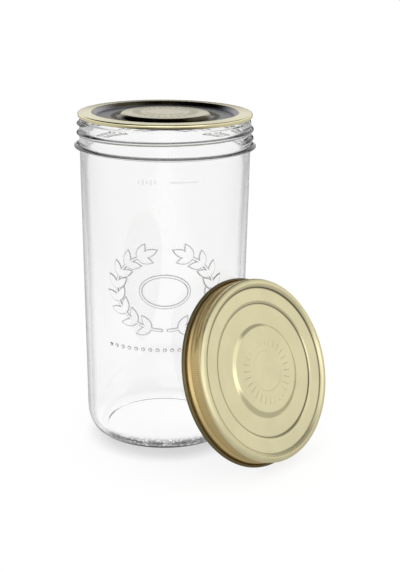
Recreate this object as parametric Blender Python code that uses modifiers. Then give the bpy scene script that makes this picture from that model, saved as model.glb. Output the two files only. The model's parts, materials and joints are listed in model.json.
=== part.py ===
"""Wide-mouth canning jar with its sealing lid on the rim and its screw cap leaning against the side.

Metres, +Z up. The origin is on the table, under the middle of the jar and cap together.
Turned pieces are outlines of (radius, height) points. Angles round the jar are counted from the
front, which is -Y, towards +X.
"""

import math

import bmesh
import bpy
from mathutils import Matrix, Vector

# Glass jar
JAR_HEIGHT = 0.2081
NECK_HEIGHT = 0.0185
NECK_RADIUS = 0.0542
LIP_STEP = 0.0013
LIP_WIDTH = 0.0029
LIP_HEIGHT = 0.0022
LIP_ROUNDING = 0.0008
LIP_SHOULDER = 0.0006
BEAD_REACH = 0.0032
BEAD_TIP = 0.0007
BEAD_FLARE = 0.0030
BEAD_UNDERCUT = 0.0013
BEAD_OVERHANG = 0.0034
BODY_TAPER = 0.0028
HEEL_WIDTH = 0.0094
HEEL_HEIGHT = 0.0155
FOOT_WIDTH = 0.0035
PUSH_UP_HEIGHT = 0.0005
PUSH_UP_SLOPE = 0.0006
WALL = 0.0031
FLOOR_THICKNESS = 0.0026
INNER_HEEL_RADIUS = 0.0066
INNER_HEEL_HEIGHT = 0.0107

# Thread rib on the neck
THREAD_PITCH = 0.0055
THREAD_START = math.radians(58)
THREAD_END = math.radians(651)
THREAD_DROP = 0.0138
THREAD_RIB_RADIUS = 0.00195
THREAD_SINK = 0.0003
THREAD_TAPER = math.radians(24)
THREAD_TIP_SHARE = 0.12

# Fill mark, a thin raised line
FILL_DROP = 0.0134
FILL_START = math.radians(3.5)
FILL_END = math.radians(21.5)
FILL_RIB_RADIUS = 0.0007
FILL_SINK = 0.0002

# Sheet metal, seal and fits
SHEET = 0.0003
SEAL_THICKNESS = 0.0014
SEAL_OVERHANG = 0.0006
SEAL_ROUNDING = 0.0003
SEAT_GAP = 0.0003

# Sealing lid
LID_OVERHANG = 0.0021
LID_RIM_HEIGHT = 0.0028
LID_EDGE_ROUNDING = 0.0009
LID_CURL_RADIUS = 0.00085
LID_CHANNEL_CLEARANCE = 0.0038
LID_CHANNEL_WIDTH = 0.0186
LID_CHANNEL_DEPTH = 0.0026
LID_WALL_SLOPE = 0.0026
LID_BEND = 0.0004

# Screw cap
CAP_HEIGHT = 0.0160
CAP_CLEARANCE = 0.00085
CAP_SHOULDER_WIDTH = 0.0034
CAP_SHOULDER_HEIGHT = 0.0019
CAP_CURL_RADIUS = 0.0013
CAP_RIM_WIDTH = 0.0055
CAP_RIM_DEPTH = 0.0017
CAP_PANEL_INSET = 0.0086
CAP_PANEL_DEPTH = 0.0009
CAP_PANEL_SLOPE = 0.0014
CAP_DISC_CLEARANCE = 0.0016
CAP_DISC_HEIGHT = 0.0015
CAP_DISC_SLOPE = 0.0024
CAP_THREAD_START_HEIGHT = 0.0031
CAP_THREAD_START = math.radians(30)
CAP_THREAD_TURNS = 1.35
CAP_THREAD_WIDTH = 0.0034
CAP_THREAD_OVERLAP = 0.0006
CAP_THREAD_TAPER = math.radians(30)

# How the cap leans
CAP_TURN = math.radians(46.7)
CAP_LEAN = math.radians(20.5)
CAP_PLACE = math.radians(45.9)
TOUCH_GAP = 0.0003

# Fineness of the turned surfaces
STEPS_AROUND = 56
BEND_STEPS = 3
CURL_STEPS = 6
HEEL_STEPS = 6
SKIRT_RINGS = 16
HALVINGS = 40
MERGE_DISTANCE = 0.00001

# Colours
GLASS = (0.93, 0.95, 0.94, 1.0)
LID_GOLD = (0.80, 0.72, 0.50, 1.0)
CAP_GOLD = (0.76, 0.68, 0.45, 1.0)
SEAL_GREY = (0.55, 0.54, 0.50, 1.0)

# Sizes worked out from the ones above
LIP_RADIUS = NECK_RADIUS - LIP_STEP
MOUTH_RADIUS = LIP_RADIUS - LIP_WIDTH
BEAD_HEIGHT = JAR_HEIGHT - NECK_HEIGHT
BEAD_RADIUS = NECK_RADIUS + BEAD_REACH
BODY_TOP = BEAD_HEIGHT - BEAD_UNDERCUT
BODY_TOP_RADIUS = BEAD_RADIUS - BEAD_OVERHANG
BODY_BOTTOM_RADIUS = BODY_TOP_RADIUS - BODY_TAPER
FOOT_RADIUS = BODY_BOTTOM_RADIUS - HEEL_WIDTH
FLOOR_TOP = PUSH_UP_HEIGHT + FLOOR_THICKNESS
THREAD_START_HEIGHT = JAR_HEIGHT - THREAD_DROP
THREAD_CREST = NECK_RADIUS - THREAD_SINK + THREAD_RIB_RADIUS
FILL_HEIGHT = BEAD_HEIGHT - FILL_DROP
LID_TOP = JAR_HEIGHT + SEAT_GAP + SEAL_THICKNESS + SEAT_GAP + SHEET
LID_RADIUS = LIP_RADIUS + LID_OVERHANG
LID_CHANNEL_RADIUS = MOUTH_RADIUS - LID_CHANNEL_CLEARANCE
LID_DISC_RADIUS = LID_CHANNEL_RADIUS - LID_CHANNEL_WIDTH
CAP_SKIRT_RADIUS = THREAD_CREST + CAP_CLEARANCE + SHEET
CAP_RIM_RADIUS = CAP_SKIRT_RADIUS - CAP_RIM_WIDTH
CAP_PANEL_RADIUS = CAP_RIM_RADIUS - CAP_PANEL_INSET
CAP_CURL_CENTRE = CAP_SKIRT_RADIUS + CAP_CURL_RADIUS - SHEET
CAP_DISC_RADIUS = LID_DISC_RADIUS + CAP_DISC_CLEARANCE
CAP_THREAD_DEPTH = CAP_CLEARANCE + CAP_THREAD_OVERLAP


def clear_scene():
    for old in list(bpy.data.objects):
        bpy.data.objects.remove(old, do_unlink=True)


def new_collection(name):
    made = bpy.data.collections.new(name)
    bpy.context.scene.collection.children.link(made)
    return made


def new_material(name, colour, roughness, metallic=0.0, transmission=0.0):
    made = bpy.data.materials.new(name)
    made.use_nodes = True
    made.diffuse_color = colour
    shader = made.node_tree.nodes["Principled BSDF"]
    shader.inputs["Base Color"].default_value = colour
    shader.inputs["Roughness"].default_value = roughness
    shader.inputs["Metallic"].default_value = metallic
    shader.inputs["Transmission Weight"].default_value = transmission
    return made


def arc(centre, radii, start_deg, end_deg, steps):
    """Points of an elliptical arc in (radius, height), from one angle to the other."""
    points = []
    for i in range(steps + 1):
        angle = math.radians(start_deg + (end_deg - start_deg) * i / steps)
        points.append((centre[0] + radii[0] * math.cos(angle), centre[1] + radii[1] * math.sin(angle)))
    return points


def place_round(angle, radius, height):
    """A point at this angle from the front, towards +X."""
    return Vector((radius * math.sin(angle), -radius * math.cos(angle), height))


def turned(name, outline, collection, closed=False):
    """An object made by turning an outline of (radius, height) points about Z."""
    mesh = bpy.data.meshes.new(name)
    edges = [(i, i + 1) for i in range(len(outline) - 1)]
    if closed:
        edges.append((len(outline) - 1, 0))
    mesh.from_pydata([(radius, 0, height) for radius, height in outline], edges, [])
    made = bpy.data.objects.new(name, mesh)
    collection.objects.link(made)
    screw = made.modifiers.new("Turn", "SCREW")
    screw.axis = "Z"
    screw.steps = STEPS_AROUND
    screw.render_steps = STEPS_AROUND
    screw.use_merge_vertices = True
    screw.merge_threshold = MERGE_DISTANCE
    screw.use_smooth_shade = True
    return made


def evaluated_mesh(source):
    bpy.context.view_layer.update()
    graph = bpy.context.evaluated_depsgraph_get()
    return bpy.data.meshes.new_from_object(source.evaluated_get(graph))


def rod(name, points, radius, shares, collection):
    """A closed round rod along points, as a mesh. Each share thins it at its point."""
    curve = bpy.data.curves.new(name, "CURVE")
    curve.dimensions = "3D"
    curve.bevel_depth = radius
    curve.bevel_resolution = 2
    curve.use_fill_caps = True
    spline = curve.splines.new("POLY")
    spline.points.add(len(points) - 1)
    for spot, place, share in zip(spline.points, points, shares):
        spot.co = (*place, 1)
        spot.radius = share
    path = bpy.data.objects.new(name, curve)
    collection.objects.link(path)
    mesh = evaluated_mesh(path)
    bpy.data.objects.remove(path, do_unlink=True)
    shape = bmesh.new()
    shape.from_mesh(mesh)
    bmesh.ops.remove_doubles(shape, verts=shape.verts, dist=MERGE_DISTANCE)
    bmesh.ops.recalc_face_normals(shape, faces=shape.faces)
    shape.to_mesh(mesh)
    shape.free()
    made = bpy.data.objects.new(name, mesh)
    collection.objects.link(made)
    made.hide_render = True
    made.display_type = "WIRE"
    return made


def join(target, tool):
    union = target.modifiers.new(tool.name, "BOOLEAN")
    union.operation = "UNION"
    union.object = tool


def body_radius(height):
    """Outer radius of the jar's tapered body at a height."""
    share = (height - HEEL_HEIGHT) / (BODY_TOP - HEEL_HEIGHT)
    return BODY_BOTTOM_RADIUS + (BODY_TOP_RADIUS - BODY_BOTTOM_RADIUS) * share


def jar_outline():
    """From the inner floor's middle up the inside, over the lip and down the outside to the foot."""
    inner_heel_top = FLOOR_TOP + INNER_HEEL_HEIGHT
    inner_radius = body_radius(inner_heel_top) - WALL
    inside = [(0, FLOOR_TOP)]
    heel_centre = (inner_radius - INNER_HEEL_RADIUS, inner_heel_top)
    inside += arc(heel_centre, (INNER_HEEL_RADIUS, INNER_HEEL_HEIGHT), -90, 0, HEEL_STEPS)
    inside.append((body_radius(BODY_TOP) - WALL, BODY_TOP))
    inside.append((MOUTH_RADIUS, BEAD_HEIGHT + BEAD_FLARE))
    rounding = (LIP_ROUNDING, LIP_ROUNDING)
    lip = arc((MOUTH_RADIUS + LIP_ROUNDING, JAR_HEIGHT - LIP_ROUNDING), rounding, 180, 90, BEND_STEPS)
    lip += arc((LIP_RADIUS - LIP_ROUNDING, JAR_HEIGHT - LIP_ROUNDING), rounding, 90, 0, BEND_STEPS)
    lip.append((LIP_RADIUS, JAR_HEIGHT - LIP_HEIGHT))
    lip.append((NECK_RADIUS, JAR_HEIGHT - LIP_HEIGHT - LIP_SHOULDER))
    return inside + lip + bead_outline() + heel_outline()


def bead_outline():
    """The sharp bead under the neck: a hollow flare out to its tip, and a short slope back in below."""
    reach = BEAD_RADIUS - BEAD_TIP
    above = (reach, BEAD_HEIGHT + BEAD_FLARE)
    points = arc(above, (reach - NECK_RADIUS, BEAD_FLARE - BEAD_TIP), 180, 270, BEND_STEPS)
    points += arc((reach, BEAD_HEIGHT), (BEAD_TIP, BEAD_TIP), 60, -60, BEND_STEPS - 1)
    points.append((BODY_TOP_RADIUS, BODY_TOP))
    return points


def heel_outline():
    """The rounded heel, the flat foot ring and the pushed-up base."""
    heel = (BODY_BOTTOM_RADIUS - FOOT_RADIUS, HEEL_HEIGHT)
    points = arc((FOOT_RADIUS, HEEL_HEIGHT), heel, 0, -90, HEEL_STEPS)
    points.append((FOOT_RADIUS - FOOT_WIDTH, 0))
    points.append((FOOT_RADIUS - FOOT_WIDTH - PUSH_UP_SLOPE, PUSH_UP_HEIGHT))
    points.append((0, PUSH_UP_HEIGHT))
    return points


def thread_rib(collection):
    """The raised thread: a rod wound round the neck, thinned to nothing at both ends."""
    count = round((THREAD_END - THREAD_START) / math.tau * STEPS_AROUND)
    places = []
    shares = []
    for i in range(count + 1):
        angle = THREAD_START + (THREAD_END - THREAD_START) * i / count
        height = THREAD_START_HEIGHT + THREAD_PITCH * (angle - THREAD_START) / math.tau
        places.append(place_round(angle, NECK_RADIUS - THREAD_SINK, height))
        from_end = min(angle - THREAD_START, THREAD_END - angle) / THREAD_TAPER
        shares.append(max(THREAD_TIP_SHARE, math.sin(math.pi / 2 * min(1, from_end))))
    return rod("thread_rib", places, THREAD_RIB_RADIUS, shares, collection)


def fill_mark(collection):
    count = max(2, round((FILL_END - FILL_START) / math.tau * STEPS_AROUND))
    places = []
    for i in range(count + 1):
        angle = FILL_START + (FILL_END - FILL_START) * i / count
        places.append(place_round(angle, body_radius(FILL_HEIGHT) - FILL_SINK, FILL_HEIGHT))
    return rod("fill_mark", places, FILL_RIB_RADIUS, [1] * len(places), collection)


def lid_outline():
    """The lid's upper surface from the middle out and down its curled edge. Height 0 is the flange."""
    disc = LID_DISC_RADIUS
    floor_inner = disc + LID_WALL_SLOPE
    floor_outer = LID_CHANNEL_RADIUS - LID_WALL_SLOPE
    points = [(0, 0), (disc - LID_BEND, 0), (disc, -LID_BEND)]
    points += [(floor_inner, LID_BEND - LID_CHANNEL_DEPTH), (floor_inner + LID_BEND, -LID_CHANNEL_DEPTH)]
    points += [(floor_outer - LID_BEND, -LID_CHANNEL_DEPTH), (floor_outer, LID_BEND - LID_CHANNEL_DEPTH)]
    points += [(LID_CHANNEL_RADIUS, -LID_BEND), (LID_CHANNEL_RADIUS + LID_BEND, 0)]
    edge = (LID_RADIUS - LID_EDGE_ROUNDING, -LID_EDGE_ROUNDING)
    points += arc(edge, (LID_EDGE_ROUNDING, LID_EDGE_ROUNDING), 90, 0, BEND_STEPS)
    curl = (LID_RADIUS - LID_CURL_RADIUS, LID_CURL_RADIUS - LID_RIM_HEIGHT)
    points += arc(curl, (LID_CURL_RADIUS, LID_CURL_RADIUS), 0, -210, CURL_STEPS)
    return points


def seal_outline():
    """A flat ring with rounded edges. Height 0 is its underside."""
    inner = MOUTH_RADIUS - SEAL_OVERHANG + SEAL_ROUNDING
    outer = LIP_RADIUS - SEAL_ROUNDING
    top = SEAL_THICKNESS - SEAL_ROUNDING
    rounding = (SEAL_ROUNDING, SEAL_ROUNDING)
    points = arc((inner, top), rounding, 180, 90, 1)
    points += arc((outer, top), rounding, 90, 0, 1)
    points += arc((outer, SEAL_ROUNDING), rounding, 0, -90, 1)
    points += arc((inner, SEAL_ROUNDING), rounding, -90, -180, 1)
    return points


def cap_outline():
    """The cap's outer surface from the face's middle out and down to the curl. Height 0 is its open edge."""
    rim = CAP_HEIGHT - CAP_RIM_DEPTH
    panel = rim - CAP_PANEL_DEPTH
    disc = panel + CAP_DISC_HEIGHT
    points = [(0, disc), (CAP_DISC_RADIUS - CAP_DISC_SLOPE, disc), (CAP_DISC_RADIUS, panel)]
    points += [(CAP_PANEL_RADIUS - CAP_PANEL_SLOPE, panel), (CAP_PANEL_RADIUS, rim)]
    points.append((CAP_RIM_RADIUS, rim))
    top = CAP_HEIGHT - CAP_SHOULDER_HEIGHT
    shoulder = (CAP_SKIRT_RADIUS - CAP_SHOULDER_WIDTH, top)
    points += arc(shoulder, (CAP_SHOULDER_WIDTH, CAP_SHOULDER_HEIGHT), 90, 0, BEND_STEPS + 1)
    for i in range(1, SKIRT_RINGS):
        points.append((CAP_SKIRT_RADIUS, top + (CAP_CURL_RADIUS - top) * i / SKIRT_RINGS))
    inner_curl = CAP_CURL_RADIUS - SHEET
    points += arc((CAP_CURL_CENTRE, CAP_CURL_RADIUS), (inner_curl, inner_curl), 180, 460, CURL_STEPS + 1)
    return points


def groove_depth(angle, height):
    """How far the cap's rolled thread presses the skirt in at an angle and a height."""
    total = CAP_THREAD_TURNS * math.tau
    depth = 0
    along = (angle - CAP_THREAD_START) % math.tau
    while along < total:
        centre = CAP_THREAD_START_HEIGHT + THREAD_PITCH * along / math.tau
        away = abs(height - centre) / CAP_THREAD_WIDTH
        if away < 0.5:
            from_end = min(1, min(along, total - along) / CAP_THREAD_TAPER)
            depth += CAP_THREAD_DEPTH * math.cos(math.pi * away) ** 2 * math.sin(math.pi / 2 * from_end)
        along += math.tau
    return depth


def make_jar(parts, cutters, material):
    jar = turned("glass_jar", jar_outline(), parts)
    join(jar, thread_rib(cutters))
    join(jar, fill_mark(cutters))
    jar.data.materials.append(material)
    return jar


def make_lid(parts, material):
    lid = turned("sealing_lid", lid_outline(), parts)
    shell = lid.modifiers.new("Sheet", "SOLIDIFY")
    shell.thickness = SHEET
    shell.use_even_offset = True
    lid.data.materials.append(material)
    return lid


def make_seal(parts, material):
    seal = turned("seal_ring", seal_outline(), parts, closed=True)
    seal.data.materials.append(material)
    return seal


def make_cap(parts, material):
    """The cap is turned, its thread is rolled into the skirt, and the surface gets its sheet thickness."""
    blank = turned("cap_blank", cap_outline(), parts)
    mesh = evaluated_mesh(blank)
    bpy.data.objects.remove(blank, do_unlink=True)
    for vertex in mesh.vertices:
        radius = math.hypot(vertex.co.x, vertex.co.y)
        if abs(radius - CAP_SKIRT_RADIUS) < MERGE_DISTANCE:
            pressed = radius - groove_depth(math.atan2(vertex.co.y, vertex.co.x), vertex.co.z)
            vertex.co.x *= pressed / radius
            vertex.co.y *= pressed / radius
    mesh.shade_smooth()
    cap = bpy.data.objects.new("screw_cap", mesh)
    parts.objects.link(cap)
    shell = cap.modifiers.new("Sheet", "SOLIDIFY")
    shell.thickness = SHEET
    shell.use_even_offset = True
    cap.data.materials.append(material)
    return cap


def cap_rotation():
    """Turns the cap's own axis from straight up to the way its face looks when it leans."""
    upright = Matrix.Rotation(math.pi / 2 - CAP_LEAN, 3, "X")
    return Matrix.Rotation(CAP_TURN, 3, "Z") @ upright


def leaning_place(cap):
    """Where the middle of the cap's open edge is when it stands on the table and leans on the jar."""
    turn = cap_rotation()
    height = -min((turn @ vertex.co).z for vertex in evaluated_mesh(cap).vertices)

    def gap(distance):
        centre = place_round(CAP_PLACE, distance, height)
        away = []
        for i in range(STEPS_AROUND):
            angle = math.tau * i / STEPS_AROUND
            across = Vector((math.cos(angle), math.sin(angle), 0)) * CAP_CURL_CENTRE
            spot = centre + turn @ (across + Vector((0, 0, CAP_CURL_RADIUS)))
            away.append(math.hypot(spot.x, spot.y) - body_radius(spot.z) - CAP_CURL_RADIUS)
        return min(away)

    near = 0
    far = BEAD_RADIUS + 2 * CAP_CURL_CENTRE
    for _ in range(HALVINGS):
        middle = (near + far) / 2
        if gap(middle) < TOUCH_GAP:
            near = middle
        else:
            far = middle
    return place_round(CAP_PLACE, far, height)


def middle_of(pieces):
    """The middle of the pieces' common box, seen from above."""
    spots = []
    for piece in pieces:
        mesh = evaluated_mesh(piece)
        spots += [piece.matrix_world @ vertex.co for vertex in mesh.vertices]
        bpy.data.meshes.remove(mesh)
    across = [spot.x for spot in spots]
    along = [spot.y for spot in spots]
    return Vector(((min(across) + max(across)) / 2, (min(along) + max(along)) / 2, 0))


def new_empty(name, collection):
    made = bpy.data.objects.new(name, None)
    collection.objects.link(made)
    return made


def build():
    clear_scene()
    parts = new_collection("canning_jar")
    cutters = new_collection("cutters")
    jar = make_jar(parts, cutters, new_material("clear_glass", GLASS, 0.03, transmission=1.0))
    lid = make_lid(parts, new_material("lid_gold", LID_GOLD, 0.25, metallic=1.0))
    seal = make_seal(parts, new_material("seal_compound", SEAL_GREY, 0.7))
    cap = make_cap(parts, new_material("cap_gold", CAP_GOLD, 0.28, metallic=1.0))

    jar_axis = new_empty("jar_axis", parts)
    cap_axis = new_empty("cap_axis", parts)
    for piece in (jar, lid, cap_axis):
        piece.parent = jar_axis
    seal.parent = lid
    cap.parent = cap_axis
    lid.location.z = LID_TOP
    seal.location.z = JAR_HEIGHT + SEAT_GAP - LID_TOP
    cap_axis.location = leaning_place(cap)
    cap_axis.rotation_euler = cap_rotation().to_euler()
    for piece in cutters.objects:
        piece.parent = jar_axis
    bpy.context.view_layer.update()
    jar_axis.location = -middle_of((jar, lid, seal, cap))


build()
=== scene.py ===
"""Canning jar: moulded glass with raised marks, the sealing lid, the screw cap, the light and the camera.

Metres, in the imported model's frame. Turned pieces are outlines of (radius, height) points. Angles round
the jar are counted from the front, which is -Y, towards +X.
"""

import json
import math

import bpy
import numpy as np
from mathutils import Matrix, Vector


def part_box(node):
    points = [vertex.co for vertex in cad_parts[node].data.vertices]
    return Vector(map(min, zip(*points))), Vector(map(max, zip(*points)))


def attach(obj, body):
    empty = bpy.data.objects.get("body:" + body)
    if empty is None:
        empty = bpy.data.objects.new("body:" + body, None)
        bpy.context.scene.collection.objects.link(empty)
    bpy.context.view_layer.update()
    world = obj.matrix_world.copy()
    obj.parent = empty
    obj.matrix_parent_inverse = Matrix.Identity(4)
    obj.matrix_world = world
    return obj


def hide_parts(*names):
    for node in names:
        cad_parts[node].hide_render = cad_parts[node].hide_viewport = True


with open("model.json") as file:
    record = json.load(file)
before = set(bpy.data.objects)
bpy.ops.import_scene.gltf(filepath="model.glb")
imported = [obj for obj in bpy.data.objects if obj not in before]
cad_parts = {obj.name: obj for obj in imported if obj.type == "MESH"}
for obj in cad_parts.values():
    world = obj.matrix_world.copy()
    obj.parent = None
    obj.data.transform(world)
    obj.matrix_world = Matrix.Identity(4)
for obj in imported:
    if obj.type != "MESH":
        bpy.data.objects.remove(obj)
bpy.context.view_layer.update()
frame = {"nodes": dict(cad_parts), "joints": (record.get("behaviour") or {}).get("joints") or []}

MM = 0.001
CORNER_REACH_SHARE = 0.45

# Jar: the solid's sizes, with a finer bead, a rounder thread rib and a lower base
JAR_HEIGHT = 208.1 * MM
NECK_HEIGHT = 18.5 * MM
NECK_RADIUS = 54.2 * MM
LIP_STEP = 1.3 * MM
LIP_WIDTH = 2.9 * MM
LIP_HEIGHT = 2.2 * MM
LIP_ROUNDING = 0.8 * MM
LIP_SHOULDER = 0.6 * MM
LIP_BEND = 0.4 * MM
LIP_FOOT_LENGTH = 1.0 * MM
BEAD_REACH = 3.2 * MM
BEAD_TIP = 0.5 * MM
BEAD_TIP_ANGLE = 60.0
BEAD_FLARE = 2.4 * MM
BEAD_UNDERCUT = 1.3 * MM
BEAD_OVERHANG = 3.4 * MM
BODY_TAPER = 2.8 * MM
HEEL_WIDTH = 9.4 * MM
HEEL_HEIGHT = 15.5 * MM
FOOT_WIDTH = 3.5 * MM
PUSH_UP_HEIGHT = 0.28 * MM
PUSH_UP_SLOPE = 1.2 * MM
PUSH_UP_BEND = 0.3 * MM
WALL = 3.1 * MM
INNER_SHOULDER = 9.0 * MM
INNER_SHOULDER_BEND = 6.0 * MM
FLOOR_THICKNESS = 2.6 * MM
INNER_HEEL_RADIUS = 6.6 * MM
INNER_HEEL_HEIGHT = 10.7 * MM
THREAD_PITCH = 5.5 * MM
THREAD_START = 58.0
THREAD_END = 651.0
THREAD_DROP = 13.8 * MM
THREAD_ABOVE = 2.3 * MM
THREAD_BELOW = 1.4 * MM
THREAD_RISE = 1.65 * MM
THREAD_TAPER = 24.0
THREAD_END_SHARE = 0.05

LIP_RADIUS = NECK_RADIUS - LIP_STEP
MOUTH_RADIUS = LIP_RADIUS - LIP_WIDTH
BEAD_HEIGHT = JAR_HEIGHT - NECK_HEIGHT
BEAD_RADIUS = NECK_RADIUS + BEAD_REACH
BODY_TOP = BEAD_HEIGHT - BEAD_UNDERCUT
BODY_TOP_RADIUS = BEAD_RADIUS - BEAD_OVERHANG
BODY_BOTTOM_RADIUS = BODY_TOP_RADIUS - BODY_TAPER
FOOT_RADIUS = BODY_BOTTOM_RADIUS - HEEL_WIDTH
FLOOR_TOP = PUSH_UP_HEIGHT + FLOOR_THICKNESS
THREAD_FOOT = JAR_HEIGHT - THREAD_DROP

# Unevenness of the moulded inner wall: each wave's size, turns round, turns up and start
RIPPLE = 0.010 * MM
RIPPLE_WAVES = ((1.0, 2, 9, 0.0), (0.6, 5, -14, 1.3))
RIPPLE_FADE_IN = (0.1, 0.2)
RIPPLE_FADE_OUT = (0.9, 1.0)

# Rows, columns and arc steps of the glass
PLAIN_ROWS = 4 * MM
SHOULDER_ROWS = 0.5 * MM
NECK_ROWS = 0.2 * MM
BODY_ROWS = 2.5 * MM
RELIEF_ROWS = 0.36 * MM
FILL_ROWS = 0.3 * MM
FILL_ROWS_REACH = 2.5 * MM
HEEL_CLEARANCE = 1.0 * MM
FINE_COLUMNS = 300
COARSE_COLUMNS = 168
ARC_STEPS = 16
SHOULDER_STEPS = 48
LIP_BEND_STEPS = 12
BEAD_STEPS = (32, 14, 24)
HEEL_STEPS = 24

# Sheet metal
SHEET = 0.3 * MM
LID_RADIUS = 55.0 * MM
LID_RIM_HEIGHT = 2.8 * MM
LID_EDGE_ROUNDING = 0.9 * MM
LID_CURL_RADIUS = 0.85 * MM
LID_CHANNEL_RADIUS = 46.2 * MM
LID_CHANNEL_DEPTH = 2.6 * MM
LID_DISC_RADIUS = 27.6 * MM
LID_WALL_SLOPE = 2.6 * MM
LID_BEND = 0.8 * MM
LID_CURL_END = -210.0
FLANGE_LIFT = 0.3 * MM
DISC_DOME = 0.35 * MM
DISC_DOME_START = 14.0 * MM
LID_COLUMNS = 420
LID_EDGE_STEPS = 8
LID_CURL_STEPS = 14

CAP_HEIGHT = 16.0 * MM
CAP_SKIRT_RADIUS = 57.0 * MM
CAP_SHOULDER_WIDTH = 3.4 * MM
CAP_SHOULDER_HEIGHT = 1.9 * MM
CAP_CURL_RADIUS = 1.3 * MM
CAP_RIM_RADIUS = 51.5 * MM
CAP_RIM_DEPTH = 1.7 * MM
CAP_PANEL_RADIUS = 42.9 * MM
CAP_PANEL_DEPTH = 0.9 * MM
CAP_PANEL_SLOPE = 1.4 * MM
CAP_DISC_RADIUS = 29.2 * MM
CAP_DISC_HEIGHT = 1.5 * MM
CAP_DISC_SLOPE = 2.4 * MM
CAP_BEND = 0.7 * MM
CAP_CURL_END = 460.0
FACE_ROWS = 0.5 * MM
SKIRT_ROWS = 0.35 * MM
CAP_CROWN_STEPS = 18
CAP_CURL_STEPS = 18
CAP_THREAD_START_HEIGHT = 3.1 * MM
CAP_THREAD_START = 120.0
CAP_THREAD_TURNS = 1.35
CAP_THREAD_WIDTH = 3.4 * MM
CAP_THREAD_DEPTH = 1.45 * MM
CAP_THREAD_TAPER = 30.0
KNURL_COUNT = 280
KNURL_COLUMNS = 3
KNURL_DEPTH = 0.32 * MM
KNURL_LOW = 6.4 * MM
KNURL_HIGH = 12.6 * MM
KNURL_FADE = 0.7 * MM
SKIRT_TOLERANCE = 0.01 * MM

# Raised marks on the lid's and the cap's discs
MARK_RISE = 0.10 * MM
MARK_SOFT = 0.8 * MM
MARK_RING = 12.5 * MM
MARK_BAR_INNER = 16.0 * MM
MARK_BAR_OUTER = 20.5 * MM
MARK_BAR_WIDTH = 1.3 * MM
MARK_BARS = 28

# Camera, fitted to the photograph
CAMERA_BACK = 756.16 * MM
CAMERA_UP = 323.23 * MM
CAMERA_PITCH = 16.67
CAMERA_YAW = 1.7436
CAMERA_ROLL = 0.63356
PHOTO_HEIGHT = 570
FOCAL_PIXELS = 1203.7
SENSOR = 36.0

# Lacquer: its plain colour; the one on walls, on the lid a painted grey reflection and on the cap a darker,
# browner gold; and the darkest one, painted shade in creases and hollows
LID_GOLDS = ((0.95, 0.87, 0.54), (0.50, 0.50, 0.54), (0.10, 0.085, 0.05))
CAP_GOLDS = ((0.79, 0.725, 0.455), (0.68, 0.53, 0.245), (0.07, 0.06, 0.035))
LID_SHEEN = (0.13, 0.17)
CAP_SHEEN = (0.20, 0.25)
CURL_GOLD = (0.18, 0.145, 0.07)
ROLLED_SHEEN = 0.42
CLOUD_SCALE = 60.0
CLOUD_RANGE = (0.35, 0.65)
CLOUD_PALER = 1.05
GRAIN_SCALE = 1400.0
GRAIN_DETAIL = 3.0
MIDDLE_RANGE = (0.3, 0.7)
GRAIN_BUMP = (0.03, 0.02 * MM)
# The inner side's lacquer, its dark colours painted shade
INNER_SHADE_GOLDS = ((0.20, 0.19, 0.16), (0.28, 0.265, 0.22))
INNER_SCALE = 90.0
INNER_METAL = 0.9
INNER_SHEEN = (0.35, 0.5)

# Painted shade on the lid: out to a ring round its disc, on its disc, on the back of its wall and under its
# edge
LID_SHADE_RING_RADIUS = 34.6 * MM
LID_DISC_SHADE = 0.38
LID_BACK_SHADE_SIDES = (112.0, 140.0)
RIM_SHADE_SIDES = (10.0, 40.0)
RIM_SHADE_FADE = 0.5 * MM

# Painted shade in the cap's creases: the radius of each, its darkest side and its least share; then skirt and
# curl
CREASE_SHADES = ((CAP_RIM_RADIUS, 120.0, 0.5), (CAP_PANEL_RADIUS - CAP_PANEL_SLOPE, 60.0, 0.4))
CREASE_SHADE_WIDTH = 0.42 * MM
SKIRT_START_SHARE = 0.6
SKIRT_FADE_UP = 0.6 * MM
SHOULDER_FADE = 2.0 * MM
CURL_FADE = 0.3 * MM

# Sealing compound
SEAL_COLOURS = ((0.42, 0.40, 0.36), (0.56, 0.54, 0.49))
SEAL_SHEEN = (0.5, 0.7)
SEAL_SCALE = 220.0
SEAL_DETAIL = 4.0
SEAL_BUMP = (0.4, 0.1 * MM)

# Clear glass, and its darker look where it is seen edge on, of which the neck keeps only a share
GLASS_INDEX = 1.5
GLASS_EDGE = (0.62, 0.88)
GLASS_EDGE_TINT = (0.45, 0.455, 0.46)
NECK_EDGE_SHARE = 0.22
BODY_TOP_MARGIN = 1.0 * MM
SOAK_COLOUR = (0.30, 0.34, 0.33)
SOAK_DENSITY = 3.5

# Painted shade on the glass, at the front: in the bead's and the thread's hollows, beside raised strokes and
# low on the heel
GLASS_SHADE_COLOUR = (0.05, 0.052, 0.055)
GLASS_SHADE_SIDES = (88.0, 110.0)
NECK_SKIN = 0.5 * MM
LINE_POWER = 4
BEAD_LINE_UP = 0.8 * MM
BEAD_LINE_HALF = 0.75 * MM
THREAD_LINE_UP = 0.9 * MM
THREAD_LINE_HALF = 0.6 * MM
HEEL_LINE_UP = 3.6 * MM
HEEL_LINE_HALF = 4.6 * MM
HEEL_LINE_SHARE = 0.9
HEEL_SIDES = (42.0, 62.0)
HEEL_SPECKS = 0.2
SPECK_WAVES = (12.9898, 78.233, 43758.5453)
RELIEF_LINE_SHARE = 1.0
FILL_LINE_SHARE = 0.3

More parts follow.
